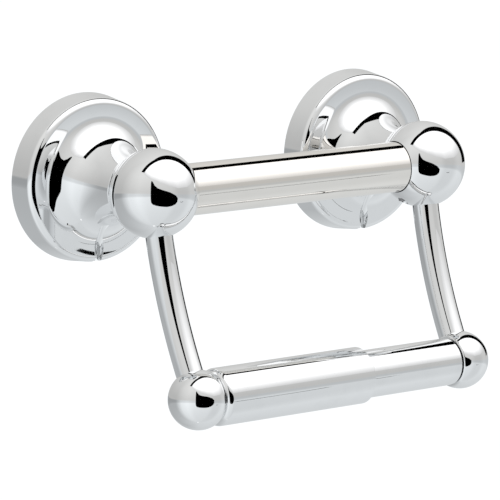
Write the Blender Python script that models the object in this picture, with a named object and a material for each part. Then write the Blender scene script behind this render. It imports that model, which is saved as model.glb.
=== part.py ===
"""Toilet paper holder with a grab bar above the roll, as an assembly.

Two wall posts carry a round grab bar between two large balls. A curved arm
hangs from each large ball and ends in a small ball, and a spring-loaded
roller in two telescoping tubes sits between the small balls.

Frame: the origin lies on the wall, midway between the posts, at the height
of the grab bar. +X runs along the bar, +Y into the wall, +Z up. Metres.
"""
import bmesh
import bpy
from math import acos, asin, atan2, cos, hypot, pi, sin, sqrt
from mathutils import Matrix, Vector

# Overall sizes
POST_SPACING = 0.1464          # centre to centre of the wall posts
PROJECTION = 0.0528            # wall to the axis of the grab bar
BALL_RADIUS = 0.0191
KNOB_RADIUS = 0.01275
KNOB_DROP = 0.0833             # grab bar axis down to the roller axis
KNOB_FORWARD = 0.0302          # roller axis in front of the grab bar axis
KNOB_INSET = 0.0016            # each arm leans in by this much
GAP = 0.0003                   # clearance between pieces that meet

# Wall post
FLANGE_RADIUS = 0.0367
FLANGE_DEPTH = 0.0125          # wall to the flat front ring
RIM_TAPER = 0.0011             # the side wall narrows by this much
EDGE_RADIUS = 0.0030
RING_WIDTH = 0.0047            # flat ring between the rounded edge and the flare
FLARE_WIDTH = 0.0150           # the flare's outline is part of an ellipse, drawn out
FLARE_LENGTH = 0.0220
FLARE_STRETCH = 0.0080
FLARE_SWEEP = 82 * pi / 180
SHELL = 0.0030                 # wall thickness of the casting
HUB_WALL = 0.0032
NOTCH_LENGTH = 0.0117          # from the rim to the tip of the key notch

# Wall plate
PLATE_RADIUS = 0.0270
PLATE_THICKNESS = 0.0025
PLATE_BOSS_RADIUS = 0.0100
PLATE_BOSS_DEPTH = 0.0170
PLATE_HOLE_RADIUS = 0.0025
PLATE_HOLE_CIRCLE = 0.0200
PLATE_HOLE_ANGLES = (90, 210, 330)
GROOVE_DEPTH = 0.0012
BOSS_BEVEL = 0.0010

# Screws and studs
POST_SCREW_RADIUS = 0.0020
POST_SCREW_LENGTH = 0.0080
POST_SCREW_DEPTH = 0.0090      # axis of the post set screw, off the wall
WEB_WALL = 0.0022              # metal each side of the post screw hole
BAR_SCREW_RADIUS = 0.0020
SCREW_RECESS = 0.00035         # bar screw below the surface of the ball
HEX_RADIUS = 0.0013
HEX_SHARE = 0.55               # how far the hexagon socket goes into a screw
SCREW_BEVEL = 0.35             # tip bevel, as a share of the screw's radius
STUD_RADIUS = 0.0030

# Grab bar
BAR_RADIUS = 0.0111
BAR_WALL = 0.0012
BAR_END = 0.0055               # bar end to the ball centre

# Arm
ARM_RADIUS = 0.00585
ARM_BEND = 0.218               # radius of the arm's curve
BALL_SOCKET = 0.0031           # how far the arm sits in the large ball
KNOB_SOCKET = 0.00155          # how far the arm sits in the small ball
BALL_CORE = 0.0065             # metal left between the stud and the ball's centre
KNOB_CORE = 0.0011             # metal left between the stud and the pin hole
STUD_IN_ARM = 0.0080

# Roller
FLAT_CUT = 0.00635             # taken off the small ball to make its flat
PIN_RADIUS = 0.0030
PIN_LENGTH = 0.0050            # pin beyond the end of the tube
PIN_BEVEL = 0.0008
END_PLAY = 0.0004
PLUG_THICKNESS = 0.0030
END_WALL = 0.0014
OUTER_TUBE_RADIUS = 0.01236
OUTER_TUBE_WALL = 0.0009
OUTER_TUBE_MOUTH = 0.0143      # x of the open end of the large tube
OUTER_SHOULDER = 0.0030
TUBE_STEP = 0.00104            # small tube inside the bore of the large tube
INNER_TUBE_WALL = 0.0008
INNER_TUBE_START = -0.0060     # x of the inner end of the small tube
INNER_SHOULDER = 0.0006
VENT_RADIUS = 0.0030
COLLAR_LENGTH = 0.0020
LIP_LENGTH = 0.0014
SPRING_CLEARANCE = 0.0020
SPRING_WIRE = 0.0006
SPRING_TURNS = 13

SIDES = {"left": -1, "right": 1}

# Places worked out from the sizes above
BAR_Y = -PROJECTION
KNOB_X = POST_SPACING / 2 - KNOB_INSET
KNOB_Y = BAR_Y - KNOB_FORWARD
KNOB_Z = -KNOB_DROP
LEAN = atan2(KNOB_INSET, KNOB_DROP)
CHORD = hypot(KNOB_FORWARD, hypot(KNOB_DROP, KNOB_INSET))
CHORD_SLOPE = atan2(KNOB_FORWARD, hypot(KNOB_DROP, KNOB_INSET))
HALF_BEND = asin(CHORD / (2 * ARM_BEND))
ARM_LENGTH = 2 * HALF_BEND * ARM_BEND
ARM_TOP_SEAT = BALL_RADIUS - BALL_SOCKET
ARM_FOOT_SEAT = KNOB_RADIUS - KNOB_SOCKET
STUD_IN_BALL = ARM_TOP_SEAT - BALL_CORE
STUD_IN_KNOB = ARM_FOOT_SEAT - PIN_RADIUS - GAP - KNOB_CORE
RIM_RADIUS = FLANGE_RADIUS - RIM_TAPER
RING_OUTER = RIM_RADIUS - EDGE_RADIUS
FLARE_FOOT = RING_OUTER - RING_WIDTH
NECK_RADIUS = FLARE_FOOT - FLARE_WIDTH * sin(FLARE_SWEEP)
HUB_RADIUS = PLATE_BOSS_RADIUS + GAP + HUB_WALL
BAR_SOCKET_MOUTH = sqrt(BALL_RADIUS ** 2 - BAR_RADIUS ** 2)
BAR_SCREW_OFFSET = (BAR_END + BAR_SOCKET_MOUTH) / 2
BAR_SCREW_TOP = sqrt(BALL_RADIUS ** 2 - BAR_SCREW_OFFSET ** 2) - SCREW_RECESS
BAR_SCREW_LENGTH = BAR_SCREW_TOP - BAR_RADIUS - GAP
KNOB_FLAT = KNOB_RADIUS - FLAT_CUT
PIN_HOLE_DEPTH = PIN_LENGTH + 2 * GAP
TUBE_END = KNOB_X - KNOB_FLAT - END_PLAY
OUTER_TUBE_BORE = OUTER_TUBE_RADIUS - OUTER_TUBE_WALL
INNER_TUBE_RADIUS = OUTER_TUBE_BORE - TUBE_STEP
INNER_TUBE_BORE = INNER_TUBE_RADIUS - INNER_TUBE_WALL
SPRING_RADIUS = INNER_TUBE_BORE - SPRING_CLEARANCE


def clear_scene():
    for item in list(bpy.data.objects):
        bpy.data.objects.remove(item, do_unlink=True)


def material(name, colour, roughness, metallic=1.0):
    shade = bpy.data.materials.new(name)
    shade.use_nodes = True
    surface = shade.node_tree.nodes["Principled BSDF"]
    surface.inputs["Base Color"].default_value = (*colour, 1.0)
    surface.inputs["Roughness"].default_value = roughness
    surface.inputs["Metallic"].default_value = metallic
    return shade


def add_object(name, shape, shade=None, location=(0, 0, 0)):
    """Turn a bmesh into a named object; without a material it is a cutter."""
    bmesh.ops.recalc_face_normals(shape, faces=shape.faces)
    mesh = bpy.data.meshes.new(name)
    shape.to_mesh(mesh)
    shape.free()
    item = bpy.data.objects.new(name, mesh)
    item.location = location
    bpy.context.scene.collection.objects.link(item)
    if shade is None:
        item.hide_render = True
        item.display_type = "WIRE"
    else:
        mesh.shade_smooth()
        mesh.set_sharp_from_angle(angle=0.6)
        mesh.materials.append(shade)
    return item


def cut(target, tool):
    step = target.modifiers.new(tool.name, "BOOLEAN")
    step.operation = "DIFFERENCE"
    step.solver = "EXACT"
    step.object = tool


def arc(centre, radius, first, last, steps):
    """Points (radius, distance) on an arc; angles run from the radial direction."""
    points = []
    for index in range(steps + 1):
        angle = first + (last - first) * index / steps
        points.append((centre[0] + radius * cos(angle), centre[1] + radius * sin(angle)))
    return points


def turned(profile, axis, steps, closed=False):
    """Spin (radius, distance along the axis) points round the axis direction."""
    axis = Vector(axis).normalized()
    outward = axis.orthogonal().normalized()
    shape = bmesh.new()
    corners = [shape.verts.new(outward * radius + axis * along) for radius, along in profile]
    edges = [shape.edges.new(pair) for pair in zip(corners, corners[1:])]
    if closed:
        edges.append(shape.edges.new((corners[-1], corners[0])))
    bmesh.ops.spin(shape, geom=corners + edges, cent=(0, 0, 0), axis=axis,
                   angle=2 * pi, steps=steps, use_merge=True)
    bmesh.ops.remove_doubles(shape, verts=shape.verts, dist=0.000001)
    return shape


def rod(radius, start, end, steps):
    """A plain cylinder from start to end."""
    start = Vector(start)
    direction = Vector(end) - start
    shape = turned([(0, 0), (radius, 0), (radius, direction.length), (0, direction.length)],
                   direction, steps)
    bmesh.ops.translate(shape, verts=shape.verts, vec=start)
    return shape


def block(low, high):
    low = Vector(low)
    high = Vector(high)
    shape = bmesh.new()
    size = high - low
    place = Matrix.Translation((low + high) / 2) @ Matrix.Diagonal((*size, 1))
    bmesh.ops.create_cube(shape, size=1, matrix=place)
    return shape


def ball_centre(side):
    return Vector((SIDES[side] * POST_SPACING / 2, BAR_Y, 0))


def knob_centre(side):
    return Vector((SIDES[side] * KNOB_X, KNOB_Y, KNOB_Z))


def arm_frame(side):
    """Places the arm's plane: local -Y forward and local -Z down the arm's lean."""
    lean = Matrix.Rotation(SIDES[side] * LEAN, 4, "Y")
    return Matrix.Translation(ball_centre(side)) @ lean


def arm_point(side, distance):
    """Point and direction on the arm's axis, this far from the ball centre."""
    start = CHORD_SLOPE - HALF_BEND
    heading = start + distance / ARM_BEND
    forward = ARM_BEND * (cos(start) - cos(heading))
    down = ARM_BEND * (sin(heading) - sin(start))
    frame = arm_frame(side)
    point = frame @ Vector((0, -forward, -down))
    direction = frame.to_3x3() @ Vector((0, -sin(heading), -cos(heading)))
    return point, direction


def wall_plate(side, shade):
    """Bracket that is screwed to the wall and hidden inside the flange."""
    groove = POST_SCREW_DEPTH
    profile = [
        (0, 0), (PLATE_RADIUS, 0), (PLATE_RADIUS, PLATE_THICKNESS),
        (PLATE_BOSS_RADIUS, PLATE_THICKNESS),
        (PLATE_BOSS_RADIUS, groove - 2 * GROOVE_DEPTH),
        (PLATE_BOSS_RADIUS - GROOVE_DEPTH, groove),
        (PLATE_BOSS_RADIUS, groove + 2 * GROOVE_DEPTH),
        (PLATE_BOSS_RADIUS, PLATE_BOSS_DEPTH - BOSS_BEVEL),
        (PLATE_BOSS_RADIUS - BOSS_BEVEL, PLATE_BOSS_DEPTH), (0, PLATE_BOSS_DEPTH),
    ]
    centre = (SIDES[side] * POST_SPACING / 2, 0, 0)
    plate = add_object("wall_plate_" + side, turned(profile, (0, -1, 0), 32), shade, centre)
    for number, degrees in enumerate(PLATE_HOLE_ANGLES):
        angle = degrees * pi / 180
        spot = Vector((PLATE_HOLE_CIRCLE * cos(angle), 0, PLATE_HOLE_CIRCLE * sin(angle)))
        reach = Vector((0, 2 * PLATE_THICKNESS, 0))
        hole = rod(PLATE_HOLE_RADIUS, spot + reach, spot - reach, 12)
        cut(plate, add_object(f"cut_plate_{side}_{number}", hole, None, centre))
    return plate


def flare_line(offset, sweep, steps):
    """Outline that starts level with the flat ring and sweeps in to the neck."""
    points = []
    for index in range(steps + 1):
        turn = sweep * index / steps
        rise = 1 - cos(turn)
        depth = FLANGE_DEPTH - offset + (FLARE_LENGTH + offset) * rise + FLARE_STRETCH * rise ** 2
        points.append((FLARE_FOOT - (FLARE_WIDTH + offset) * sin(turn), depth))
    return points


def post_profile():
    """Outline of the flange, flare, neck and ball, from the wall to the ball's pole."""
    edge = arc((RING_OUTER, FLANGE_DEPTH - EDGE_RADIUS), EDGE_RADIUS, 0, pi / 2, 4)
    flare = flare_line(0, FLARE_SWEEP, 9)
    neck_end = -acos(NECK_RADIUS / BALL_RADIUS)
    ball = arc((0, PROJECTION), BALL_RADIUS, neck_end, pi / 2, 12)
    ball[-1] = (0, PROJECTION + BALL_RADIUS)
    return [(0, 0), (FLANGE_RADIUS, 0)] + edge + flare + ball


def post_hollow():
    """The space inside the casting: plate recess, hub socket and the ring round the hub."""
    below = -2 * GAP
    recess = PLATE_THICKNESS + 2 * GAP
    socket = PLATE_BOSS_RADIUS + GAP
    socket_depth = PLATE_BOSS_DEPTH + 2 * GAP
    crown_turn = asin((FLARE_FOOT - HUB_RADIUS) / (FLARE_WIDTH + SHELL))
    crown = flare_line(SHELL, crown_turn, 4)
    return [
        (0, below), (FLANGE_RADIUS - SHELL, below), (RIM_RADIUS - SHELL, FLANGE_DEPTH - SHELL),
    ] + crown + [
        (HUB_RADIUS, recess), (socket, recess), (socket, socket_depth), (0, socket_depth),
    ]


def post(side, shade):
    """Flange, flare, neck and ball in one hollow casting."""
    centre = Vector((SIDES[side] * POST_SPACING / 2, 0, 0))
    inward = -SIDES[side]
    body = add_object("post_" + side, turned(post_profile(), (0, -1, 0), 32), shade, centre)

    drill_radius = POST_SCREW_RADIUS + GAP
    web_side = drill_radius + WEB_WALL
    web_back = drill_radius - POST_SCREW_DEPTH + WEB_WALL / 2
    web_low = (-web_side, -FLANGE_DEPTH - SHELL, -RIM_RADIUS + SHELL / 2)
    web = block(web_low, (web_side, web_back, -HUB_RADIUS + SHELL / 2))
    hollow = add_object("cut_hollow_" + side, turned(post_hollow(), (0, -1, 0), 24), None, centre)
    cut(hollow, add_object("cut_web_" + side, web, None, centre))
    cut(body, hollow)

    drill_start = (0, -POST_SCREW_DEPTH, -FLANGE_RADIUS - SHELL)
    drill_end = (0, -POST_SCREW_DEPTH, -PLATE_BOSS_RADIUS)
    drill = rod(drill_radius, drill_start, drill_end, 16)
    cut(body, add_object("cut_post_screw_" + side, drill, None, centre))
    notch_tip = Vector((0, -FLANGE_DEPTH - drill_radius, NOTCH_LENGTH - FLANGE_RADIUS))
    notch_rim = Vector((0, -POST_SCREW_DEPTH, -FLANGE_RADIUS))
    notch_run = (notch_rim - notch_tip) / 2
    notch = rod(drill_radius, notch_rim + notch_run, notch_tip - notch_run, 16)
    cut(body, add_object("cut_notch_" + side, notch, None, centre))

    middle = ball_centre(side)
    bore_start = middle + Vector((inward * (BAR_END - GAP), 0, 0))
    bore_end = middle + Vector((inward * 2 * BALL_RADIUS, 0, 0))
    bore = rod(BAR_RADIUS + GAP, bore_start, bore_end, 32)
    cut(body, add_object("cut_bar_socket_" + side, bore))

    screw_x = middle.x + inward * BAR_SCREW_OFFSET
    screw_start = (screw_x, BAR_Y, -BAR_RADIUS + GAP)
    screw_hole = rod(BAR_SCREW_RADIUS + GAP, screw_start, (screw_x, BAR_Y, -BALL_RADIUS), 12)
    cut(body, add_object("cut_bar_screw_" + side, screw_hole))

    seat, heading = arm_point(side, ARM_TOP_SEAT)
    socket = rod(ARM_RADIUS + GAP, seat - GAP * heading, seat + 2 * BALL_SOCKET * heading, 24)
    cut(body, add_object("cut_arm_socket_" + side, socket))
    stud_start = seat - (STUD_IN_BALL + GAP) * heading
    stud = rod(STUD_RADIUS + GAP, stud_start, seat + BALL_SOCKET / 2 * heading, 14)
    cut(body, add_object("cut_ball_stud_" + side, stud))
    return body


def grub_screw(name, radius, length, tip, direction, shade):
    """Headless set screw with a hexagon socket in its outer end."""
    tip = Vector(tip)
    direction = Vector(direction)
    bevel = radius * SCREW_BEVEL
    profile = [(0, 0), (radius - bevel, 0), (radius, bevel), (radius, length), (0, length)]
    screw = add_object(name, turned(profile, direction, 16), shade, tip)
    key_end = direction * (length + radius)
    key = rod(HEX_RADIUS, direction * length * (1 - HEX_SHARE), key_end, 6)
    cut(screw, add_object("cut_" + name, key, None, tip))
    return screw


def grab_bar(shade):
    """Straight tube, open at both ends, held in the sockets of the large balls."""
    half = POST_SPACING / 2 - BAR_END
    bore = BAR_RADIUS - BAR_WALL
    profile = [(bore, -half), (BAR_RADIUS, -half), (BAR_RADIUS, half), (bore, half)]
    return add_object("grab_bar", turned(profile, (1, 0, 0), 40, closed=True), shade, (0, BAR_Y, 0))


def arm(side, shade):
    """Solid curved rod from the large ball to the small ball, drilled for its studs."""
    start = CHORD_SLOPE - HALF_BEND
    first = start + ARM_TOP_SEAT / ARM_BEND
    sweep = (ARM_LENGTH - ARM_TOP_SEAT - ARM_FOOT_SEAT) / ARM_BEND
    bend_centre = Vector((0, -ARM_BEND * cos(start), ARM_BEND * sin(start)))
    shape = bmesh.new()
    face_out = Matrix.Rotation(-first, 4, "X")
    outward = Vector((0, cos(first), -sin(first)))
    place = Matrix.Translation(bend_centre + outward * ARM_BEND) @ face_out
    bmesh.ops.create_circle(shape, cap_ends=True, radius=ARM_RADIUS, segments=20, matrix=place)
    bmesh.ops.spin(shape, geom=list(shape.faces), cent=bend_centre, axis=(1, 0, 0),
                   angle=-sweep, steps=9)
    bmesh.ops.transform(shape, matrix=arm_frame(side), verts=shape.verts)
    piece = add_object("arm_" + side, shape, shade)
    top, heading = arm_point(side, ARM_TOP_SEAT)
    past = ARM_RADIUS / 3
    drill = rod(STUD_RADIUS + GAP, top - past * heading, top + (STUD_IN_ARM + GAP) * heading, 14)
    cut(piece, add_object("cut_arm_top_" + side, drill))
    foot, heading = arm_point(side, ARM_LENGTH - ARM_FOOT_SEAT)
    drill = rod(STUD_RADIUS + GAP, foot + past * heading, foot - (STUD_IN_ARM + GAP) * heading, 14)
    cut(piece, add_object("cut_arm_foot_" + side, drill))
    return piece


def studs(side, shade):
    """Headless studs that screw the arm into the large ball and the small ball."""
    top, heading = arm_point(side, ARM_TOP_SEAT)
    shape = rod(STUD_RADIUS, top - STUD_IN_BALL * heading, top + STUD_IN_ARM * heading, 14)
    add_object("arm_stud_" + side, shape, shade)
    foot, heading = arm_point(side, ARM_LENGTH - ARM_FOOT_SEAT)
    shape = rod(STUD_RADIUS, foot + STUD_IN_KNOB * heading, foot - STUD_IN_ARM * heading, 14)
    add_object("knob_stud_" + side, shape, shade)


def knob(side, shade):
    """Small ball with a flat and a pin hole that faces the roller."""
    centre = knob_centre(side)
    inward = Vector((-SIDES[side], 0, 0))
    flat_angle = asin(KNOB_FLAT / KNOB_RADIUS)
    outline = arc((0, 0), KNOB_RADIUS, flat_angle, -pi / 2, 9)
    outline[-1] = (0, -KNOB_RADIUS)
    profile = [(0, KNOB_FLAT)] + outline
    ball = add_object("knob_" + side, turned(profile, inward, 24), shade, centre)
    hole = rod(PIN_RADIUS + GAP, inward * (KNOB_FLAT - PIN_HOLE_DEPTH), inward * KNOB_RADIUS, 14)
    cut(ball, add_object("cut_pin_hole_" + side, hole, None, centre))
    foot, heading = arm_point(side, ARM_LENGTH - ARM_FOOT_SEAT)
    socket = rod(ARM_RADIUS + GAP, foot + GAP * heading, foot - ARM_FOOT_SEAT * heading, 20)
    cut(ball, add_object("cut_knob_socket_" + side, socket))
    reach = STUD_IN_KNOB + GAP
    drill = rod(STUD_RADIUS + GAP, foot + reach * heading, foot - KNOB_SOCKET * heading, 14)
    cut(ball, add_object("cut_knob_stud_" + side, drill))
    return ball


def roller_axis(x):
    return Vector((x, KNOB_Y, KNOB_Z))


def outer_tube(shade):
    """Large tube: a rounded end with a pin hole, open at the other end with a lip."""
    shoulder = OUTER_SHOULDER
    face = -TUBE_END
    outside = arc((OUTER_TUBE_RADIUS - shoulder, face + shoulder), shoulder, -pi / 2, 0, 4)
    mouth = OUTER_TUBE_MOUTH
    lip = INNER_TUBE_RADIUS + GAP
    inside_turn = OUTER_TUBE_BORE - shoulder + OUTER_TUBE_WALL
    profile = [(PIN_RADIUS + GAP, face)] + outside + [
        (OUTER_TUBE_RADIUS, mouth), (lip, mouth), (lip, mouth - LIP_LENGTH),
        (OUTER_TUBE_BORE, mouth - LIP_LENGTH), (OUTER_TUBE_BORE, face + shoulder),
        (inside_turn, face + END_WALL), (PIN_RADIUS + GAP, face + END_WALL),
    ]
    shape = turned(profile, (1, 0, 0), 36, closed=True)
    return add_object("roller_outer_tube", shape, shade, roller_axis(0))


def inner_tube(shade):
    """Small tube: a vented wall and a collar inside, a pin hole at its outer end."""
    start = INNER_TUBE_START
    collar = OUTER_TUBE_BORE - GAP
    edge = INNER_SHOULDER
    outside = arc((INNER_TUBE_RADIUS - edge, TUBE_END - edge), edge, 0, pi / 2, 2)
    profile = [
        (VENT_RADIUS, start), (collar, start), (collar, start + COLLAR_LENGTH),
        (INNER_TUBE_RADIUS, start + COLLAR_LENGTH),
    ] + outside + [
        (PIN_RADIUS + GAP, TUBE_END), (PIN_RADIUS + GAP, TUBE_END - END_WALL),
        (INNER_TUBE_BORE, TUBE_END - END_WALL), (INNER_TUBE_BORE, start + END_WALL),
        (VENT_RADIUS, start + END_WALL),
    ]
    shape = turned(profile, (1, 0, 0), 36, closed=True)
    return add_object("roller_inner_tube", shape, shade, roller_axis(0))


def roller_pin(side, bore, shade):
    """Plug inside the end of a tube, with the pin that turns in the small ball."""
    outward = (SIDES[side], 0, 0)
    plug = bore - 2 * GAP
    inner_face = TUBE_END - END_WALL - GAP
    tip = TUBE_END + PIN_LENGTH
    bevel = PIN_BEVEL
    profile = [
        (0, inner_face - PLUG_THICKNESS), (plug, inner_face - PLUG_THICKNESS),
        (plug, inner_face), (PIN_RADIUS, inner_face), (PIN_RADIUS, tip - bevel),
        (PIN_RADIUS - bevel, tip), (0, tip),
    ]
    return add_object("roller_pin_" + side, turned(profile, outward, 20), shade, roller_axis(0))


def roller_spring(shade):
    """Compression spring between the left plug and the wall of the small tube."""
    start = -TUBE_END + END_WALL + GAP + PLUG_THICKNESS + GAP + SPRING_WIRE
    end = INNER_TUBE_START - GAP - SPRING_WIRE
    path = bpy.data.curves.new("spring_path", "CURVE")
    path.dimensions = "3D"
    path.bevel_depth = SPRING_WIRE
    path.bevel_resolution = 1
    path.use_fill_caps = True
    per_turn = 12
    total = SPRING_TURNS * per_turn
    wire = path.splines.new("POLY")
    wire.points.add(total)
    for index in range(total + 1):
        share = index / total
        turn = 2 * pi * SPRING_TURNS * share
        x = start + (end - start) * share
        wire.points[index].co = (x, SPRING_RADIUS * cos(turn), SPRING_RADIUS * sin(turn), 1)
    spring = bpy.data.objects.new("roller_spring", path)
    spring.location = roller_axis(0)
    bpy.context.scene.collection.objects.link(spring)
    path.materials.append(shade)
    return spring


def build():
    clear_scene()
    chrome = material("chrome_plate", (0.80, 0.81, 0.82), 0.04)
    stainless = material("polished_stainless", (0.78, 0.76, 0.73), 0.08)
    plate_zinc = material("bracket_zinc", (0.52, 0.53, 0.55), 0.45)
    screw_steel = material("screw_steel", (0.40, 0.40, 0.42), 0.35)
    spring_steel = material("spring_steel", (0.45, 0.45, 0.47), 0.30)
    pin_nylon = material("pin_nylon", (0.80, 0.80, 0.78), 0.45, metallic=0.0)

    for side, sign in SIDES.items():
        wall_plate(side, plate_zinc)
        post(side, chrome)
        post_x = sign * POST_SPACING / 2
        tip = PLATE_BOSS_RADIUS
        grub_screw("post_set_screw_" + side, POST_SCREW_RADIUS, POST_SCREW_LENGTH,
                   (post_x, -POST_SCREW_DEPTH, -tip), (0, 0, -1), screw_steel)
        bar_screw_x = post_x - sign * BAR_SCREW_OFFSET
        grub_screw("bar_lock_screw_" + side, BAR_SCREW_RADIUS, BAR_SCREW_LENGTH,
                   (bar_screw_x, BAR_Y, -BAR_RADIUS - GAP), (0, 0, -1), screw_steel)
        arm(side, chrome)
        studs(side, screw_steel)
        knob(side, chrome)
    grab_bar(stainless)
    outer_tube(chrome)
    inner_tube(chrome)
    roller_pin("left", OUTER_TUBE_BORE - OUTER_SHOULDER + OUTER_TUBE_WALL, pin_nylon)
    roller_pin("right", INNER_TUBE_BORE, pin_nylon)
    roller_spring(spring_steel)


build()
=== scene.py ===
from math import acos, asin, atan2, cos, hypot, pi, radians, sin, sqrt, tan

import bmesh
import bpy
from mathutils import Matrix, Quaternion, Vector


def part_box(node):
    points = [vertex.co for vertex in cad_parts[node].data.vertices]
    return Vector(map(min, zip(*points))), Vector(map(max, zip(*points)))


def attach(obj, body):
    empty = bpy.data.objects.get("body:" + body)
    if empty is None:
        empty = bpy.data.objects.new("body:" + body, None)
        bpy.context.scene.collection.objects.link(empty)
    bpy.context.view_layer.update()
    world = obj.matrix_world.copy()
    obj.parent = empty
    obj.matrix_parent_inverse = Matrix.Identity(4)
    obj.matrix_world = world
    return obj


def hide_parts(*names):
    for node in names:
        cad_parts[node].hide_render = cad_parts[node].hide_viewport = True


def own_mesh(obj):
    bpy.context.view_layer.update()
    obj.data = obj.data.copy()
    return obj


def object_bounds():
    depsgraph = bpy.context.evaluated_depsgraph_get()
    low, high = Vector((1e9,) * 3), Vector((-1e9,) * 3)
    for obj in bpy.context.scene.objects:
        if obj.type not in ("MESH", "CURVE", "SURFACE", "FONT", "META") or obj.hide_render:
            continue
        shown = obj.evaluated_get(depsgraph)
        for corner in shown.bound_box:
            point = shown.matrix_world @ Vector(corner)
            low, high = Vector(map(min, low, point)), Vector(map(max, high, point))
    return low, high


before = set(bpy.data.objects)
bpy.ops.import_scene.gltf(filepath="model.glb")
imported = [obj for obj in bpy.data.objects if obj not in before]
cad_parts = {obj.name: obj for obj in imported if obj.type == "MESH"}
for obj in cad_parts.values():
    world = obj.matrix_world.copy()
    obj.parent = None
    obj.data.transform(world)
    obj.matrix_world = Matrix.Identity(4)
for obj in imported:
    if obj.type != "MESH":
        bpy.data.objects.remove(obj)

cad_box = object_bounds()

# --- Camera --------------------------------------------------------------
# The holder is looked at from its left and a little above, from 1.5 m away
# with a long lens, so that the two posts stay nearly parallel.
CAMERA_AZIMUTH = radians(-38.0)
CAMERA_ELEVATION = radians(9.17)
CAMERA_DISTANCE = 1.5412
CAMERA_LENS = 256.9
CAMERA_TILT = 0.0119
AIM_SIDE = -0.01767
AIM_UP = -0.03125
bar_low, bar_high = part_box("grab_bar")
FOCUS = Vector((0, (bar_low.y + bar_high.y) / 2, 0))

lens_side = Vector((cos(CAMERA_AZIMUTH), sin(CAMERA_AZIMUTH), 0))
lens_back = Vector((sin(CAMERA_AZIMUTH) * cos(CAMERA_ELEVATION),
                    -cos(CAMERA_AZIMUTH) * cos(CAMERA_ELEVATION), sin(CAMERA_ELEVATION)))
lens_up = lens_back.cross(lens_side)

camera_data = bpy.data.cameras.new("camera")
camera_data.lens = CAMERA_LENS
camera_data.clip_start = 0.05
camera_data.clip_end = 60
camera = bpy.data.objects.new("camera", camera_data)
camera.location = FOCUS + lens_back * CAMERA_DISTANCE
aim = FOCUS + lens_side * AIM_SIDE + lens_up * AIM_UP
camera.rotation_mode = "QUATERNION"
level = (aim - camera.location).to_track_quat("-Z", "Y")
camera.rotation_quaternion = level @ Quaternion((0, 0, 1), CAMERA_TILT)
bpy.context.scene.collection.objects.link(camera)
bpy.context.scene.camera = camera
bpy.context.scene.view_settings.view_transform = "Standard"

# --- Studio ----------------------------------------------------------------
# A pale floor under an even sky. White and black cards stand round the
# holder, and only its polished metal sees them, as in a product studio.
FLOOR_DROP = 0.45
FLOOR_REACH = 30
SKY_LIGHT = (1.12, 1.13, 1.14)
TENT_RADIUS = 8.0
PANEL_GLOW = (0.74, 0.92, 1.12, 1.35)
PANEL_RADIUS = 2.5
PANEL_TOP = 88
PANEL_STEPS = 12
SEAM_LEFT = -42.0
SEAM_RIGHT = 146.0
SEAM_FIRST = 50
SEAM_SWEEP = 128
SEAM_STEPS = 32
SEAM_NARROW = 3.6
SEAM_WIDENING = 9.0
SEAM_UNDER_PANEL = 0.97
EDGE_TILTS = (3.20, 3.68)
EDGE_TURNS = range(232, 313, 8)
EDGE_DISTANCE = 1.6
NO_COLOUR = (0, 0, 0)


def studio_surface(name, colour):
    surface = bpy.data.materials.new(name)
    surface.use_nodes = True
    shader = surface.node_tree.nodes["Principled BSDF"]
    shader.inputs["Base Color"].default_value = (*colour, 1)
    shader.inputs["Roughness"].default_value = 0.9
    shader.inputs["Specular IOR Level"].default_value = 0.0
    return surface


def stage_card(name, points, faces, surface, glow=None):
    """A card that the camera and matt surfaces don't see; glow is one light per point."""
    mesh = bpy.data.meshes.new(name)
    mesh.from_pydata([tuple(point) for point in points], [], faces)
    if glow:
        lit = mesh.color_attributes.new("glow", "FLOAT_COLOR", "POINT")
        for index, colour in enumerate(glow):
            lit.data[index].color = (*colour, 1)
        painted = surface.node_tree.nodes.new("ShaderNodeVertexColor")
        painted.layer_name = "glow"
        shader = surface.node_tree.nodes["Principled BSDF"]
        shader.inputs["Emission Strength"].default_value = 1.0
        surface.node_tree.links.new(painted.outputs["Color"], shader.inputs["Emission Color"])
    mesh.materials.append(surface)
    card = bpy.data.objects.new(name, mesh)
    bpy.context.scene.collection.objects.link(card)
    card.visible_camera = False
    card.visible_diffuse = False
    card.visible_shadow = False


def grid_faces(rows, columns):
    """Faces of a sheet whose points come row by row."""
    return [(row * columns + column, row * columns + column + 1,
             (row + 1) * columns + column + 1, (row + 1) * columns + column)
            for row in range(rows - 1) for column in range(columns - 1)]


def toward(azimuth, elevation, distance):
    """A point seen from the holder at these angles, counted from the lens."""
    flat = cos(radians(elevation)) * distance
    return (FOCUS + lens_side * flat * sin(radians(azimuth))
            + lens_back * flat * cos(radians(azimuth))
            + lens_up * sin(radians(elevation)) * distance)


sky = bpy.data.worlds.new("sky")
bpy.context.scene.world = sky
sky.use_nodes = True
sky.node_tree.nodes["Background"].inputs["Color"].default_value = (*SKY_LIGHT, 1)

floor_height = cad_box[0].z - FLOOR_DROP
floor_mesh = bpy.data.meshes.new("floor")
floor_corners = [(x, y, floor_height) for x, y in ((-1, -1), (1, -1), (1, 1), (-1, 1))]
floor_mesh.from_pydata([(x * FLOOR_REACH, y * FLOOR_REACH, z) for x, y, z in floor_corners],
                       [], [(0, 1, 2, 3)])
floor_mesh.materials.append(studio_surface("floor_paper", (0.92, 0.925, 0.93)))
floor = bpy.data.objects.new("floor", floor_mesh)
bpy.context.scene.collection.objects.link(floor)
floor.visible_glossy = False

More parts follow.
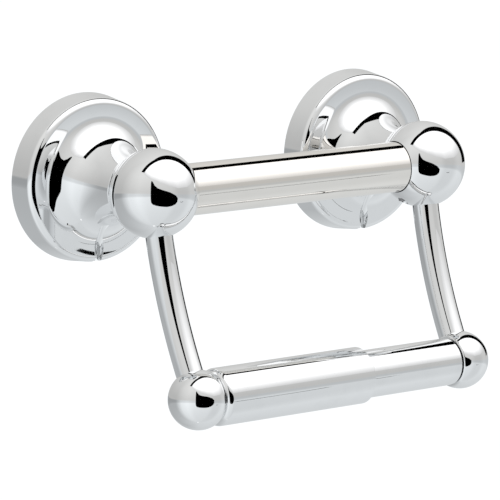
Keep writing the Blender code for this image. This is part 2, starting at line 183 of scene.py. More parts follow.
# The overhead panel's lower edge, as (azimuth, elevation), comes down lower on
# the right than in front.
panel_foot = [(SEAM_LEFT, 50), (-25, 42), (-8, 34), (15, 26), (40, 18), (65, 12), (95, 12),
              (120, 15), (SEAM_RIGHT, 16)]
panel_shares = [step / PANEL_STEPS for step in range(PANEL_STEPS + 1)]
panel_points = [toward(azimuth, foot + (PANEL_TOP - foot) * share, PANEL_RADIUS)
                for share in panel_shares for azimuth, foot in panel_foot]
panel_glow = [(PANEL_GLOW[min(row, len(PANEL_GLOW) - 1)],) * 3
              for row in range(len(panel_shares)) for _ in panel_foot]
stage_card("overhead_panel", panel_points, grid_faces(len(panel_shares), len(panel_foot)),
           studio_surface("panel_white", NO_COLOUR), panel_glow)

# A tent of pale cloth closes the studio for the polished metal. It is dimmer
# behind the holder's left side and along the skyline, and bluish underneath.
# The pairs are (elevation, light) and (azimuth, light).
TENT_BY_HEIGHT = [(-90, 0.76), (-45, 0.80), (-22, 0.84), (-10, 0.86), (-7, 0.68), (4, 0.66),
                  (18, 0.72), (40, 0.80), (90, 0.86)]
SIDE_ABOVE = [(-180, 0.88), (-150, 0.80), (-90, 0.80), (-62, 1.00), (-38, 1.10), (-12, 1.04),
              (50, 1.0), (64, 0.88), (92, 0.88), (110, 1.0), (150, 0.92), (180, 0.88)]
SIDE_BELOW = [(-180, 0.80), (-150, 0.54), (-92, 0.56), (-66, 1.10), (-40, 1.22), (-15, 1.08),
              (50, 1.0), (64, 0.86), (92, 0.86), (110, 1.0), (150, 0.90), (180, 0.80)]
TENT_WARM = (1.0, 1.0, 0.985)
TENT_COOL = (0.97, 1.005, 1.025)


def between(pairs, place):
    """Read a value off a line that joins (place, value) pairs."""
    for (start, low), (end, high) in zip(pairs, pairs[1:]):
        if place <= end:
            return low + (high - low) * (place - start) / (end - start)
    return pairs[-1][1]


tent_rows = list(range(-88, -24, 8)) + list(range(-24, 25, 2)) + list(range(28, 89, 6))
tent_columns = list(range(-180, 181, 6))
tent_points = []
tent_glow = []
for elevation in tent_rows:
    tint = TENT_COOL if elevation < 0 else TENT_WARM
    sides = SIDE_BELOW if elevation < 0 else SIDE_ABOVE
    for azimuth in tent_columns:
        tent_points.append(toward(azimuth, elevation, TENT_RADIUS))
        side_level = 1 + (between(sides, azimuth) - 1) * cos(radians(elevation))
        level = between(TENT_BY_HEIGHT, elevation) * side_level
        tent_glow.append(tuple(level * share for share in tint))
stage_card("tent", tent_points, grid_faces(len(tent_rows), len(tent_columns)),
           studio_surface("tent_cloth", NO_COLOUR), tent_glow)

# A black strip hangs over the holder, along the back edge of the panel.
black = studio_surface("card_black", NO_COLOUR)
seam_across = lens_side * cos(radians(SEAM_LEFT)) - lens_back * sin(radians(SEAM_LEFT))
seam_angles = [SEAM_FIRST + SEAM_SWEEP * step / SEAM_STEPS for step in range(SEAM_STEPS + 1)]
seam_beyond = SEAM_FIRST + SEAM_SWEEP - 90
seam_points = []
for edge in (-1, 1):
    for angle in seam_angles:
        spread = tan(radians(SEAM_NARROW + SEAM_WIDENING * max(0, angle - 90) / seam_beyond))
        azimuth, elevation = (SEAM_LEFT, angle) if angle < 90 else (SEAM_RIGHT, 180 - angle)
        seam_points.append(toward(azimuth, elevation, PANEL_RADIUS * SEAM_UNDER_PANEL)
                           + seam_across * edge * PANEL_RADIUS * spread)
stage_card("panel_seam", seam_points, grid_faces(2, len(seam_angles)), black)

# The tent's dark opening, beside the lens. Its far and near edges are given as
# (side, back, up) from the nearer large ball, and the outline as shares of both.
plate_low, plate_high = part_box("wall_plate_left")
near_ball = Vector(((plate_low.x + plate_high.x) / 2, FOCUS.y, 0))
opening_far = [(-0.12, 1.0, 0.62), (-0.12, 1.0, -0.52)]
opening_near = [(0.42, 0.20, 0.080), (0.42, 0.20, -0.235)]
opening_outline = [(0.0, 0.10), (0.03, 0.02), (0.08, 0.0), (0.16, 0.04), (0.30, 0.20),
                   (0.45, 0.29), (0.62, 0.32), (0.82, 0.33), (0.94, 0.38), (1.0, 0.50),
                   (1.0, 0.72), (0.97, 0.86), (0.90, 0.95), (0.78, 1.0), (0.40, 1.0),
                   (0.18, 0.98), (0.06, 0.92), (0.01, 0.80)]
opening_points = []
for across, down in opening_outline:
    ends = [Vector(far).lerp(Vector(near), across)
            for far, near in zip(opening_far, opening_near)]
    side, back, up = ends[0].lerp(ends[1], down)
    opening_points.append(near_ball + lens_side * side + lens_back * back + lens_up * up)
stage_card("dark_opening", opening_points, [tuple(range(len(opening_points)))], black)

# A thin dark edge, such as a table's, low in front of the posts. It stands where
# a slope of the flat ring with this tilt and turn mirrors the lens.
edge_points = []
for tilt in EDGE_TILTS:
    for turn in EDGE_TURNS:
        sloped = Vector((cos(radians(turn)) * sin(radians(tilt)), -cos(radians(tilt)),
                         sin(radians(turn)) * sin(radians(tilt))))
        bounce = sloped * 2 * sloped.dot(lens_back) - lens_back
        edge_points.append(near_ball + bounce * EDGE_DISTANCE)
stage_card("table_edge", edge_points, grid_faces(len(EDGE_TILTS), len(EDGE_TURNS)), black)

# --- Wall posts ---------------------------------------------------------------
# Each post is one zinc casting, polished and chrome plated: a round flange with
# a rounded edge and a flat ring, which flares out into a neck and the large ball.
# A notch in the flange's edge leads a hex key to the screw that grips the plate.
CHROME_COLOUR = (0.86, 0.865, 0.87)
CHROME_DULL = (0.82, 0.825, 0.83)
CHROME_ROUGHNESS = 0.02
GAP = 0.0003
BALL_RADIUS = 0.0191
PROJECTION = -FOCUS.y
FLANGE_RADIUS = 0.0367
FLANGE_DEPTH = 0.0125
RIM_TAPER = 0.0011
RIM_RADIUS = FLANGE_RADIUS - RIM_TAPER
EDGE_RADIUS = 0.0030
RING_OUTER = RIM_RADIUS - EDGE_RADIUS
RING_WIDTH = 0.0047
FLARE_FOOT = RING_OUTER - RING_WIDTH
FLARE_WIDTH = 0.0150
FLARE_LENGTH = 0.0220
FLARE_STRETCH = 0.0080
FLARE_SWEEP = radians(82)
NECK_RADIUS = FLARE_FOOT - FLARE_WIDTH * sin(FLARE_SWEEP)
SHELL = 0.0030
HUB_RADIUS = 0.0135
PLATE_BOSS = 0.0100
PLATE_BOSS_DEPTH = 0.0170
PLATE_RECESS = 0.0031
POST_SCREW_RADIUS = 0.0020
POST_SCREW_DEPTH = 0.0090
SCREW_WAY_START = 0.0397
WEB_WALL = 0.0022
WEB_FRONT = 0.0155
WEB_BACK = 0.0011
WEB_FOOT = 0.0015
WEB_TOP = 0.0120
NOTCH_LENGTH = 0.0117
BAR_RADIUS = 0.0111
BAR_END = 0.0055
BAR_SCREW_RADIUS = 0.0020
BAR_SCREW_OFFSET = 0.0105
ARM_RADIUS = 0.00585
STUD_RADIUS = 0.0030
BALL_SOCKET = 0.0031
BALL_CORE = 0.0065
SIDES = {"left": -1, "right": 1}


def polish_marks():
    """Faint hand marks and the soft waves that buffing leaves in polished metal."""
    group = bpy.data.node_groups.new("polish_marks", "ShaderNodeTree")
    sockets = group.interface
    for name, value in (("Smudge Scale", 60.0), ("Smudge Amount", 0.02), ("Wave Scale", 30.0),
                        ("Wave Depth", 0.02), ("Base Roughness", 0.02)):
        socket = sockets.new_socket(name, in_out="INPUT", socket_type="NodeSocketFloat")
        socket.default_value = value
    sockets.new_socket("Bright", in_out="INPUT", socket_type="NodeSocketColor")
    sockets.new_socket("Dull", in_out="INPUT", socket_type="NodeSocketColor")
    sockets.new_socket("Colour", in_out="OUTPUT", socket_type="NodeSocketColor")
    sockets.new_socket("Roughness", in_out="OUTPUT", socket_type="NodeSocketFloat")
    sockets.new_socket("Height", in_out="OUTPUT", socket_type="NodeSocketFloat")
    given = group.nodes.new("NodeGroupInput")
    result = group.nodes.new("NodeGroupOutput")
    place = group.nodes.new("ShaderNodeTexCoord")
    smudge = group.nodes.new("ShaderNodeTexNoise")
    smudge.inputs["Detail"].default_value = 5
    smudge.inputs["Roughness"].default_value = 0.62
    contrast = group.nodes.new("ShaderNodeMapRange")
    contrast.inputs["From Min"].default_value = 0.52
    contrast.inputs["From Max"].default_value = 0.78
    wave = group.nodes.new("ShaderNodeTexNoise")
    wave.inputs["Detail"].default_value = 1
    rough = group.nodes.new("ShaderNodeMath")
    rough.operation = "MULTIPLY_ADD"
    depth = group.nodes.new("ShaderNodeMath")
    depth.operation = "MULTIPLY"
    tint = group.nodes.new("ShaderNodeMix")
    tint.data_type = "RGBA"
    link = group.links.new
    link(place.outputs["Object"], smudge.inputs["Vector"])
    link(place.outputs["Object"], wave.inputs["Vector"])
    link(given.outputs["Smudge Scale"], smudge.inputs["Scale"])
    link(given.outputs["Wave Scale"], wave.inputs["Scale"])
    link(smudge.outputs["Fac"], contrast.inputs["Value"])
    link(contrast.outputs["Result"], rough.inputs[0])
    link(given.outputs["Smudge Amount"], rough.inputs[1])
    link(given.outputs["Base Roughness"], rough.inputs[2])
    link(wave.outputs["Fac"], depth.inputs[0])
    link(given.outputs["Wave Depth"], depth.inputs[1])
    link(contrast.outputs["Result"], tint.inputs["Factor"])
    link(given.outputs["Bright"], tint.inputs["A"])
    link(given.outputs["Dull"], tint.inputs["B"])
    link(tint.outputs["Result"], result.inputs["Colour"])
    link(rough.outputs["Value"], result.inputs["Roughness"])
    link(depth.outputs["Value"], result.inputs["Height"])
    return group


marks = polish_marks()


def polished_metal(name, colour, dull, roughness, smudge=(60, 0.02), wave=(30, 1.0),
                   lift=0.00002):
    """Mirror-polished metal; smudge and wave are a scale and an amount, lift is in metres."""
    surface = bpy.data.materials.new(name)
    surface.use_nodes = True
    nodes = surface.node_tree.nodes
    shader = nodes["Principled BSDF"]
    shader.inputs["Metallic"].default_value = 1.0
    worn = nodes.new("ShaderNodeGroup")
    worn.node_tree = marks
    worn.inputs["Smudge Scale"].default_value = smudge[0]
    worn.inputs["Smudge Amount"].default_value = smudge[1]
    worn.inputs["Wave Scale"].default_value = wave[0]
    worn.inputs["Wave Depth"].default_value = wave[1]
    worn.inputs["Base Roughness"].default_value = roughness
    worn.inputs["Bright"].default_value = (*colour, 1)
    worn.inputs["Dull"].default_value = (*dull, 1)
    bump = nodes.new("ShaderNodeBump")
    bump.inputs["Strength"].default_value = 1.0
    bump.inputs["Distance"].default_value = lift
    link = surface.node_tree.links.new
    link(worn.outputs["Colour"], shader.inputs["Base Color"])
    link(worn.outputs["Roughness"], shader.inputs["Roughness"])
    link(worn.outputs["Height"], bump.inputs["Height"])
    link(bump.outputs["Normal"], shader.inputs["Normal"])
    return surface


def arc(centre, radius, first, last, steps):
    """Points on part of a circle, from the first angle to the last."""
    return [(centre[0] + radius * cos(first + (last - first) * step / steps),
             centre[1] + radius * sin(first + (last - first) * step / steps))
            for step in range(steps + 1)]


def turned(outline, axis, steps, closed=False):
    """Spin (radius, distance along the axis) points round the axis."""
    axis = Vector(axis).normalized()
    outward = axis.orthogonal().normalized()
    shape = bmesh.new()
    corners = [shape.verts.new(outward * radius + axis * along) for radius, along in outline]
    edges = [shape.edges.new(pair) for pair in zip(corners, corners[1:])]
    if closed:
        edges.append(shape.edges.new((corners[-1], corners[0])))
    bmesh.ops.spin(shape, geom=corners + edges, cent=(0, 0, 0), axis=axis, angle=2 * pi,
                   steps=steps, use_merge=True)
    bmesh.ops.remove_doubles(shape, verts=shape.verts, dist=1e-7)
    return shape


def rod(radius, start, end, steps):
    """A plain cylinder between two points."""
    start = Vector(start)
    direction = Vector(end) - start
    shape = turned([(0, 0), (radius, 0), (radius, direction.length), (0, direction.length)],
                   direction, steps)
    bmesh.ops.translate(shape, verts=shape.verts, vec=start)
    return shape


def made(name, shape, centre=(0, 0, 0)):
    """Turn a shape into an object of this name, moved to its centre."""
    bmesh.ops.recalc_face_normals(shape, faces=shape.faces)
    mesh = bpy.data.meshes.new(name)
    bmesh.ops.translate(shape, verts=shape.verts, vec=Vector(centre))
    shape.to_mesh(mesh)
    shape.free()
    piece = bpy.data.objects.new(name, mesh)
    bpy.context.scene.collection.objects.link(piece)
    return piece


def machined(piece, tools):
    """Cut the tools out of a piece for good, and take the tools away."""
    for tool in tools:
        step = piece.modifiers.new(tool.name, "BOOLEAN")
        step.operation = "DIFFERENCE"
        step.solver = "EXACT"
        step.object = tool
    shaped = piece.evaluated_get(bpy.context.evaluated_depsgraph_get())
    mesh = bpy.data.meshes.new_from_object(shaped)
    piece.modifiers.clear()
    piece.data = mesh
    for tool in tools:
        bpy.data.objects.remove(tool, do_unlink=True)


def finished(piece, surface, node, body, sharp=32):
    """Smooth the faces, put the finish on and hand the piece to its body."""
    piece.data.shade_smooth()
    piece.data.set_sharp_from_angle(angle=radians(sharp))
    piece.data.materials.clear()
    piece.data.materials.append(surface)
    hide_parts(node)
    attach(piece, body)


def flare_line(offset, sweep, steps):
    """Outline that starts level with the flat ring and sweeps in to the neck."""
    points = []
    for turn in [sweep * step / steps for step in range(steps + 1)]:
        rise = 1 - cos(turn)
        depth = FLANGE_DEPTH - offset + (FLARE_LENGTH + offset) * rise + FLARE_STRETCH * rise ** 2
        points.append((FLARE_FOOT - (FLARE_WIDTH + offset) * sin(turn), depth))
    return points


def post_outline():
    """The post's outside, from the wall to the tip of the ball."""
    edge = arc((RING_OUTER, FLANGE_DEPTH - EDGE_RADIUS), EDGE_RADIUS, 0, pi / 2, 14)
    flare = flare_line(0, FLARE_SWEEP, 60)
    ball = arc((0, PROJECTION), BALL_RADIUS, -acos(NECK_RADIUS / BALL_RADIUS), pi / 2, 80)
    ball[-1] = (0, PROJECTION + BALL_RADIUS)
    return [(0, 0), (FLANGE_RADIUS, 0)] + edge + flare + ball


def hollow_outline():
    """The hollow in the post's back, with the socket for the wall plate's boss."""
    below = -2 * GAP
    turn = asin((FLARE_FOOT - HUB_RADIUS) / (FLARE_WIDTH + SHELL))
    crown = flare_line(SHELL, turn, 12)
    socket = PLATE_BOSS + GAP
    socket_depth = PLATE_BOSS_DEPTH + 2 * GAP
    return ([(0, below), (FLANGE_RADIUS - SHELL, below),
             (RIM_RADIUS - SHELL, FLANGE_DEPTH - SHELL)]
            + crown + [(HUB_RADIUS, PLATE_RECESS), (socket, PLATE_RECESS),
                       (socket, socket_depth), (0, socket_depth)])


def block(low, high):
    """A box between two corners."""
    low = Vector(low)
    high = Vector(high)
    shape = bmesh.new()
    place = Matrix.Translation((low + high) / 2) @ Matrix.Diagonal((*(high - low), 1))
    bmesh.ops.create_cube(shape, size=1, matrix=place)
    return shape


# The arm leaves the ball along a gentle curve, so the ball's socket needs it too.
ARM_BEND = 0.218
ARM_TOP_SEAT = BALL_RADIUS - BALL_SOCKET
knob_low, knob_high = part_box("knob_right")
plate_low, plate_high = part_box("wall_plate_right")
POST_X = (plate_low.x + plate_high.x) / 2
KNOB_RADIUS = (knob_high.z - knob_low.z) / 2
KNOB_CENTRE = Vector((knob_high.x - KNOB_RADIUS, (knob_low.y + knob_high.y) / 2,
                      (knob_low.z + knob_high.z) / 2))
KNOB_INSET = POST_X - KNOB_CENTRE.x
KNOB_FORWARD = FOCUS.y - KNOB_CENTRE.y
KNOB_DROP = -KNOB_CENTRE.z
ARM_FALL = hypot(KNOB_DROP, KNOB_INSET)
HALF_BEND = asin(hypot(KNOB_FORWARD, ARM_FALL) / (2 * ARM_BEND))
ARM_START = atan2(KNOB_FORWARD, ARM_FALL) - HALF_BEND
ARM_LENGTH = 2 * HALF_BEND * ARM_BEND


def arm_frame(sign):
    """Placing of the arm's plane: at the large ball, leaning in to the small one."""
    lean = Matrix.Rotation(sign * atan2(KNOB_INSET, KNOB_DROP), 4, "Y")
    return Matrix.Translation(Vector((sign * POST_X, FOCUS.y, 0))) @ lean


def arm_point(sign, distance):
    """Point and direction on the arm's axis, this far from the ball's centre."""
    heading = ARM_START + distance / ARM_BEND
    forward = ARM_BEND * (cos(ARM_START) - cos(heading))
    down = ARM_BEND * (sin(heading) - sin(ARM_START))
    placed = arm_frame(sign)
    return (placed @ Vector((0, -forward, -down)),
            placed.to_3x3() @ Vector((0, -sin(heading), -cos(heading))))


post_chrome = polished_metal("post_chrome", CHROME_COLOUR, CHROME_DULL, CHROME_ROUGHNESS)
for side, sign in SIDES.items():
    foot = Vector((sign * POST_X, 0, 0))
    ball = Vector((sign * POST_X, FOCUS.y, 0))
    inward = Vector((-sign, 0, 0))
    shell = made("post_shell_" + side, turned(post_outline(), (0, -1, 0), 192), foot)

    drill = POST_SCREW_RADIUS + GAP
    hollow = made("tool_hollow", turned(hollow_outline(), (0, -1, 0), 64), foot)
    web = made("tool_web", block((-drill - WEB_WALL, -WEB_FRONT, -RIM_RADIUS + WEB_FOOT),
                                 (drill + WEB_WALL, drill - POST_SCREW_DEPTH + WEB_BACK,
                                  -WEB_TOP)), foot)
    machined(hollow, [web])
    screw_way = made("tool_screw_way", rod(drill, (0, -POST_SCREW_DEPTH, -SCREW_WAY_START),
                                           (0, -POST_SCREW_DEPTH, -PLATE_BOSS), 48), foot)
    notch_tip = Vector((0, -FLANGE_DEPTH - drill, NOTCH_LENGTH - FLANGE_RADIUS))
    notch_rim = Vector((0, -POST_SCREW_DEPTH, -FLANGE_RADIUS))
    notch_run = (notch_rim - notch_tip) / 2
    notch = made("tool_notch", rod(drill, notch_rim + notch_run, notch_tip - notch_run, 48), foot)
    bar_way = made("tool_bar_way", rod(BAR_RADIUS + GAP, ball + inward * (BAR_END - GAP),
                                       ball + inward * 2 * BALL_RADIUS, 128))
    lock = ball + inward * BAR_SCREW_OFFSET
    lock_way = made("tool_lock_way", rod(BAR_SCREW_RADIUS + GAP,
                                         lock - Vector((0, 0, BAR_RADIUS - GAP)),
                                         lock - Vector((0, 0, BALL_RADIUS)), 48))
    seat, heading = arm_point(sign, ARM_TOP_SEAT)
    arm_way = made("tool_arm_way", rod(ARM_RADIUS + GAP, seat - GAP * heading,
                                       seat + 2 * BALL_SOCKET * heading, 96))
    stud_depth = ARM_TOP_SEAT - BALL_CORE + GAP
    stud_way = made("tool_stud_way", rod(STUD_RADIUS + GAP, seat - stud_depth * heading,
                                         seat + BALL_SOCKET / 2 * heading, 48))
    machined(shell, [hollow, screw_way, notch, bar_way, lock_way, arm_way, stud_way])
    finished(shell, post_chrome, "post_" + side, "frame")

# --- Grab bar -------------------------------------------------------------------
# A length of drawn stainless tube, polished bright along its length, pushed into
# a socket in each large ball and locked there by a small screw from below.
BAR_WALL = 0.0012
BAR_CHAMFER = 0.0003

bar_steel = polished_metal("bar_steel", (0.88, 0.85, 0.81), (0.84, 0.81, 0.77), 0.03,
                           smudge=(45, 0.025), wave=(18, 1.0), lift=0.000015)
half_bar = POST_X - BAR_END
bore = BAR_RADIUS - BAR_WALL
bar_outline = [(bore, -half_bar), (BAR_RADIUS - BAR_CHAMFER, -half_bar),
               (BAR_RADIUS, -half_bar + BAR_CHAMFER), (BAR_RADIUS, half_bar - BAR_CHAMFER),
               (BAR_RADIUS - BAR_CHAMFER, half_bar), (bore, half_bar)]
bar = made("bar_tube", turned(bar_outline, (1, 0, 0), 192, closed=True), FOCUS)
finished(bar, bar_steel, "grab_bar", "frame")

# --- Arms -----------------------------------------------------------------------
# Two solid rods, bent to a gentle curve and chrome plated. A threaded stud at
# each end screws them into the large ball above and the small ball below.
KNOB_SOCKET = 0.00155
STUD_IN_ARM = 0.0080
ARM_FOOT_SEAT = KNOB_RADIUS - KNOB_SOCKET
ARM_SEGMENTS = 96
ARM_STEPS = 72


def full_turn(segments):
    return [2 * pi * index / segments for index in range(segments)]


def skinned(rings):
    """Join rings of points, one after the other, into a rod with closed ends."""
    shape = bmesh.new()
    loops = [[shape.verts.new(point) for point in ring] for ring in rings]
    for upper, lower in zip(loops, loops[1:]):
        for index in range(len(upper)):
            after = (index + 1) % len(upper)
            shape.faces.new((upper[index], upper[after], lower[after], lower[index]))
    shape.faces.new(loops[0])
    shape.faces.new(loops[-1])
    return shape


arm_chrome = polished_metal("arm_chrome", CHROME_COLOUR, CHROME_DULL, CHROME_ROUGHNESS,
                            smudge=(80, 0.02), wave=(40, 1.0), lift=0.00001)
for side, sign in SIDES.items():
    rings = []
    for step in range(ARM_STEPS + 1):
        reach = ARM_TOP_SEAT + (ARM_LENGTH - ARM_TOP_SEAT - ARM_FOOT_SEAT) * step / ARM_STEPS
        middle, heading = arm_point(sign, reach)
        across = arm_frame(sign).to_3x3() @ Vector((1, 0, 0))
        over = heading.cross(across)
        rings.append([middle + ARM_RADIUS * (across * cos(turn) + over * sin(turn))
                      for turn in full_turn(ARM_SEGMENTS)])
    arm = made("arm_rod_" + side, skinned(rings))
    past = ARM_RADIUS / 3
    drills = []
    for seat_at, way in ((ARM_TOP_SEAT, 1), (ARM_LENGTH - ARM_FOOT_SEAT, -1)):
        seat, heading = arm_point(sign, seat_at)
        drills.append(made("tool_arm_drill", rod(STUD_RADIUS + GAP, seat - way * past * heading,
                                                 seat + way * (STUD_IN_ARM + GAP) * heading, 48)))
    machined(arm, drills)
    finished(arm, arm_chrome, "arm_" + side, "frame")

# --- Small balls ----------------------------------------------------------------
# Solid turned balls, chrome plated, screwed on the ends of the arms. The flat
# that faces the roller has a blind hole for the roller's pin.
FLAT_CUT = 0.00635
KNOB_FLAT = KNOB_RADIUS - FLAT_CUT
FLAT_BREAK = 0.0003
PIN_RADIUS = 0.0030
PIN_LENGTH = 0.0050
KNOB_CORE = 0.0011

knob_chrome = polished_metal("knob_chrome", CHROME_COLOUR, CHROME_DULL, CHROME_ROUGHNESS,
                             smudge=(90, 0.02), wave=(45, 1.0), lift=0.00001)
for side, sign in SIDES.items():
    centre = Vector((sign * KNOB_CENTRE.x, KNOB_CENTRE.y, KNOB_CENTRE.z))
    inward = Vector((-sign, 0, 0))
    flat_radius = sqrt(KNOB_RADIUS ** 2 - KNOB_FLAT ** 2)
    sphere = arc((0, 0), KNOB_RADIUS, asin((KNOB_FLAT - FLAT_BREAK) / KNOB_RADIUS), -pi / 2, 80)
    sphere[-1] = (0, -KNOB_RADIUS)
    outline = [(0, KNOB_FLAT), (flat_radius - FLAT_BREAK, KNOB_FLAT)] + sphere
    knob = made("small_ball_" + side, turned(outline, inward, 160), centre)
    pin_way = made("tool_pin_way", rod(PIN_RADIUS + GAP,
                                       centre + inward * (KNOB_FLAT - PIN_LENGTH - 2 * GAP),
                                       centre + inward * KNOB_RADIUS, 64))
    seat, heading = arm_point(sign, ARM_LENGTH - ARM_FOOT_SEAT)
    arm_way = made("tool_knob_seat", rod(ARM_RADIUS + GAP, seat + GAP * heading,
                                         seat - ARM_FOOT_SEAT * heading, 96))
    stud_reach = ARM_FOOT_SEAT - PIN_RADIUS - KNOB_CORE
    stud_way = made("tool_knob_stud", rod(STUD_RADIUS + GAP, seat + stud_reach * heading,
                                          seat - KNOB_SOCKET * heading, 48))
    machined(knob, [pin_way, arm_way, stud_way])
    finished(knob, knob_chrome, "knob_" + side, "frame")

# --- Roller tubes ---------------------------------------------------------------
# Two thin plated tubes that telescope. The wide one has a rounded end and a lip
# rolled in at its mouth; the narrow one slides in it and can't come out, because
# of a collar on its hidden end.
outer_low, outer_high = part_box("roller_outer_tube")
inner_low, inner_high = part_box("roller_inner_tube")
OUTER_WALL = 0.0009
INNER_WALL = 0.0008
SLIDE_ROOM = 0.00104
OUTER_TUBE_RADIUS = (outer_high.z - outer_low.z) / 2
OUTER_TUBE_BORE = OUTER_TUBE_RADIUS - OUTER_WALL
OUTER_TUBE_MOUTH = outer_high.x
OUTER_SHOULDER = 0.0030
INNER_TUBE_RADIUS = OUTER_TUBE_BORE - SLIDE_ROOM
INNER_TUBE_BORE = INNER_TUBE_RADIUS - INNER_WALL
INNER_TUBE_START = inner_low.x
INNER_SHOULDER = 0.0006
TUBE_END = inner_high.x
END_WALL = 0.0014
LIP_LENGTH = 0.0014
MOUTH_ROUND = 0.0004
COLLAR_LENGTH = 0.0020
VENT_RADIUS = 0.0030
ROLLER_AXIS = Vector((0, KNOB_CENTRE.y, KNOB_CENTRE.z))

tube_chrome = polished_metal("tube_chrome", CHROME_COLOUR, (0.81, 0.815, 0.82), 0.022,
                             smudge=(55, 0.03), wave=(22, 1.0), lift=0.000015)
pin_bore = PIN_RADIUS + GAP
end_round = arc((OUTER_TUBE_RADIUS - OUTER_SHOULDER, -TUBE_END + OUTER_SHOULDER), OUTER_SHOULDER,
                -pi / 2, 0, 24)
mouth_round = arc((OUTER_TUBE_RADIUS - MOUTH_ROUND, OUTER_TUBE_MOUTH - MOUTH_ROUND), MOUTH_ROUND,
                  0, pi / 2, 6)
lip = INNER_TUBE_RADIUS + GAP
end_inside = OUTER_TUBE_BORE - OUTER_SHOULDER + OUTER_WALL
outer_outline = [(pin_bore, -TUBE_END)] + end_round + mouth_round + [
    (lip, OUTER_TUBE_MOUTH), (lip, OUTER_TUBE_MOUTH - LIP_LENGTH),
    (OUTER_TUBE_BORE, OUTER_TUBE_MOUTH - LIP_LENGTH),
    (OUTER_TUBE_BORE, -TUBE_END + OUTER_SHOULDER),
    (end_inside, -TUBE_END + END_WALL), (pin_bore, -TUBE_END + END_WALL)]
outer = made("wide_tube", turned(outer_outline, (1, 0, 0), 192, closed=True), ROLLER_AXIS)
finished(outer, tube_chrome, "roller_outer_tube", "roller")

inner_round = arc((INNER_TUBE_RADIUS - INNER_SHOULDER, TUBE_END - INNER_SHOULDER), INNER_SHOULDER,
                  0, pi / 2, 10)
collar = OUTER_TUBE_BORE - GAP
inner_outline = [
    (VENT_RADIUS, INNER_TUBE_START), (collar, INNER_TUBE_START),
    (collar, INNER_TUBE_START + COLLAR_LENGTH),
    (INNER_TUBE_RADIUS, INNER_TUBE_START + COLLAR_LENGTH),
] + inner_round + [
    (pin_bore, TUBE_END), (pin_bore, TUBE_END - END_WALL), (INNER_TUBE_BORE, TUBE_END - END_WALL),
    (INNER_TUBE_BORE, INNER_TUBE_START + END_WALL), (VENT_RADIUS, INNER_TUBE_START + END_WALL)]
inner = made("narrow_tube", turned(inner_outline, (1, 0, 0), 192, closed=True), ROLLER_AXIS)
finished(inner, tube_chrome, "roller_inner_tube", "roller_slider")

# --- Roller pins ----------------------------------------------------------------
# Moulded nylon plugs with a pin, pressed into the ends of the two tubes. The
# pins turn in the blind holes of the small balls.
PLUG_THICKNESS = 0.0030
PIN_BEVEL = 0.0008

nylon = bpy.data.materials.new("moulded_nylon")
nylon.use_nodes = True
nodes = nylon.node_tree.nodes
link = nylon.node_tree.links.new
shader = nodes["Principled BSDF"]
place = nodes.new("ShaderNodeTexCoord")
grain = nodes.new("ShaderNodeTexNoise")
grain.inputs["Scale"].default_value = 900
grain.inputs["Detail"].default_value = 4
cloud = nodes.new("ShaderNodeTexNoise")
cloud.inputs["Scale"].default_value = 130
ramp = nodes.new("ShaderNodeValToRGB")
ramp.color_ramp.elements[0].position = 0.35
ramp.color_ramp.elements[0].color = (0.72, 0.71, 0.67, 1)
ramp.color_ramp.elements[1].position = 0.65
ramp.color_ramp.elements[1].color = (0.82, 0.82, 0.80, 1)
satin = nodes.new("ShaderNodeMapRange")
satin.inputs["To Min"].default_value = 0.38
satin.inputs["To Max"].default_value = 0.55
bump = nodes.new("ShaderNodeBump")
bump.inputs["Strength"].default_value = 0.4
bump.inputs["Distance"].default_value = 0.00004
for noise in (grain, cloud):
    link(place.outputs["Object"], noise.inputs["Vector"])
link(cloud.outputs["Fac"], ramp.inputs["Fac"])
link(ramp.outputs["Color"], shader.inputs["Base Color"])
link(grain.outputs["Fac"], satin.inputs["Value"])
link(satin.outputs["Result"], shader.inputs["Roughness"])
link(grain.outputs["Fac"], bump.inputs["Height"])
link(bump.outputs["Normal"], shader.inputs["Normal"])
for side, sign, plug, body in (("left", -1, end_inside, "roller"),
                               ("right", 1, INNER_TUBE_BORE, "roller_slider")):
    back = TUBE_END - END_WALL - GAP
    plug_radius = plug - 2 * GAP
    tip = TUBE_END + PIN_LENGTH
    outline = [(0, back - PLUG_THICKNESS), (plug_radius, back - PLUG_THICKNESS),
               (plug_radius, back), (PIN_RADIUS, back), (PIN_RADIUS, tip - PIN_BEVEL),
               (PIN_RADIUS - PIN_BEVEL, tip), (0, tip)]
    pin = made("end_pin_" + side, turned(outline, (sign, 0, 0), 64), ROLLER_AXIS)
    finished(pin, nylon, "roller_pin_" + side, body)

# --- Roller spring --------------------------------------------------------------
# A coil of drawn spring steel inside the wide tube. It sits between the end plug
# and the narrow tube. The real spring shortens as the narrow tube is pushed in; here it is one
# fixed coil.
SPRING_WIRE = 0.0006
SPRING_TURNS = 13
SPRING_CLEARANCE = 0.0020
TURN_STEPS = 36
WIRE_SEGMENTS = 12


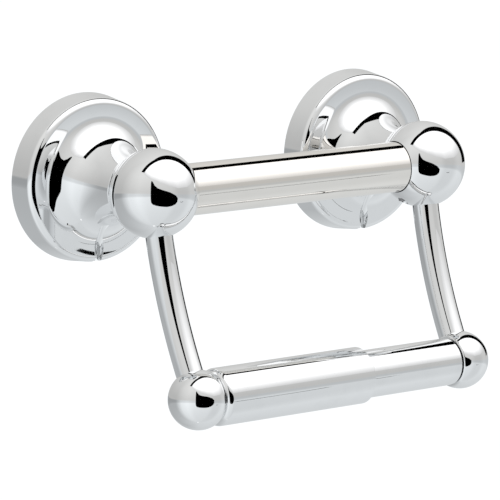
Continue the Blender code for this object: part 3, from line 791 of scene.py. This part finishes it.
def workshop_metal(name, dark, light, roughness, scale, thread=0.0, stretch=(1, 1, 1)):
    """Satin metal with a grainy colour; a thread pitch adds turned ridges."""
    surface = bpy.data.materials.new(name)
    surface.use_nodes = True
    nodes = surface.node_tree.nodes
    link = surface.node_tree.links.new
    shader = nodes["Principled BSDF"]
    shader.inputs["Metallic"].default_value = 1.0
    place = nodes.new("ShaderNodeTexCoord")
    aligned = nodes.new("ShaderNodeMapping")
    aligned.inputs["Scale"].default_value = stretch
    grain = nodes.new("ShaderNodeTexNoise")
    grain.inputs["Scale"].default_value = scale
    grain.inputs["Detail"].default_value = 6
    ramp = nodes.new("ShaderNodeValToRGB")
    ramp.color_ramp.elements[0].position = 0.3
    ramp.color_ramp.elements[0].color = (*dark, 1)
    ramp.color_ramp.elements[1].position = 0.7
    ramp.color_ramp.elements[1].color = (*light, 1)
    satin = nodes.new("ShaderNodeMapRange")
    satin.inputs["To Min"].default_value = roughness - 0.08
    satin.inputs["To Max"].default_value = roughness + 0.12
    bump = nodes.new("ShaderNodeBump")
    bump.inputs["Strength"].default_value = 0.5
    bump.inputs["Distance"].default_value = 0.00006
    link(place.outputs["Object"], aligned.inputs["Vector"])
    link(aligned.outputs["Vector"], grain.inputs["Vector"])
    link(grain.outputs["Fac"], ramp.inputs["Fac"])
    link(ramp.outputs["Color"], shader.inputs["Base Color"])
    link(grain.outputs["Fac"], satin.inputs["Value"])
    link(satin.outputs["Result"], shader.inputs["Roughness"])
    if thread:
        ridges = nodes.new("ShaderNodeTexWave")
        ridges.bands_direction = "Z"
        ridges.inputs["Scale"].default_value = thread
        link(place.outputs["Object"], ridges.inputs["Vector"])
        link(ridges.outputs["Fac"], bump.inputs["Height"])
        bump.inputs["Distance"].default_value = 0.0003
    else:
        link(grain.outputs["Fac"], bump.inputs["Height"])
    link(bump.outputs["Normal"], shader.inputs["Normal"])
    return surface


spring_wire = workshop_metal("spring_wire", (0.34, 0.34, 0.36), (0.52, 0.52, 0.54), 0.28, 500,
                             stretch=(0.2, 1, 1))
spring_radius = INNER_TUBE_BORE - SPRING_CLEARANCE
coil_start = -TUBE_END + END_WALL + PLUG_THICKNESS + 2 * GAP + SPRING_WIRE
coil_end = INNER_TUBE_START - GAP - SPRING_WIRE
coil_length = coil_end - coil_start
coil_steps = SPRING_TURNS * TURN_STEPS
rings = []
for step in range(coil_steps + 1):
    turn = 2 * pi * SPRING_TURNS * step / coil_steps
    outward = Vector((0, cos(turn), sin(turn)))
    middle = (ROLLER_AXIS + spring_radius * outward
              + Vector((coil_start + coil_length * step / coil_steps, 0, 0)))
    rings.append([middle + SPRING_WIRE * (outward * cos(around) + Vector((sin(around), 0, 0)))
                  for around in full_turn(WIRE_SEGMENTS)])
spring = made("return_spring", skinned(rings))
finished(spring, spring_wire, "roller_spring", "roller")
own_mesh(spring)

# --- Hidden fixings -------------------------------------------------------------
# Zinc-plated wall plates, blackened set screws and threaded studs. They keep
# the frame's own shapes and take worked finishes.
plate_zinc = workshop_metal("plate_zinc", (0.44, 0.45, 0.48), (0.60, 0.61, 0.64), 0.42, 260)
screw_steel = workshop_metal("screw_steel", (0.24, 0.24, 0.25), (0.44, 0.44, 0.45), 0.34, 700,
                             thread=450)
hidden_finishes = {"wall_plate": plate_zinc, "post_set_screw": screw_steel,
                   "bar_lock_screw": screw_steel, "arm_stud": screw_steel,
                   "knob_stud": screw_steel}
for start, surface in hidden_finishes.items():
    for name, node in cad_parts.items():
        if name.startswith(start):
            node.data.materials.clear()
            node.data.materials.append(surface)
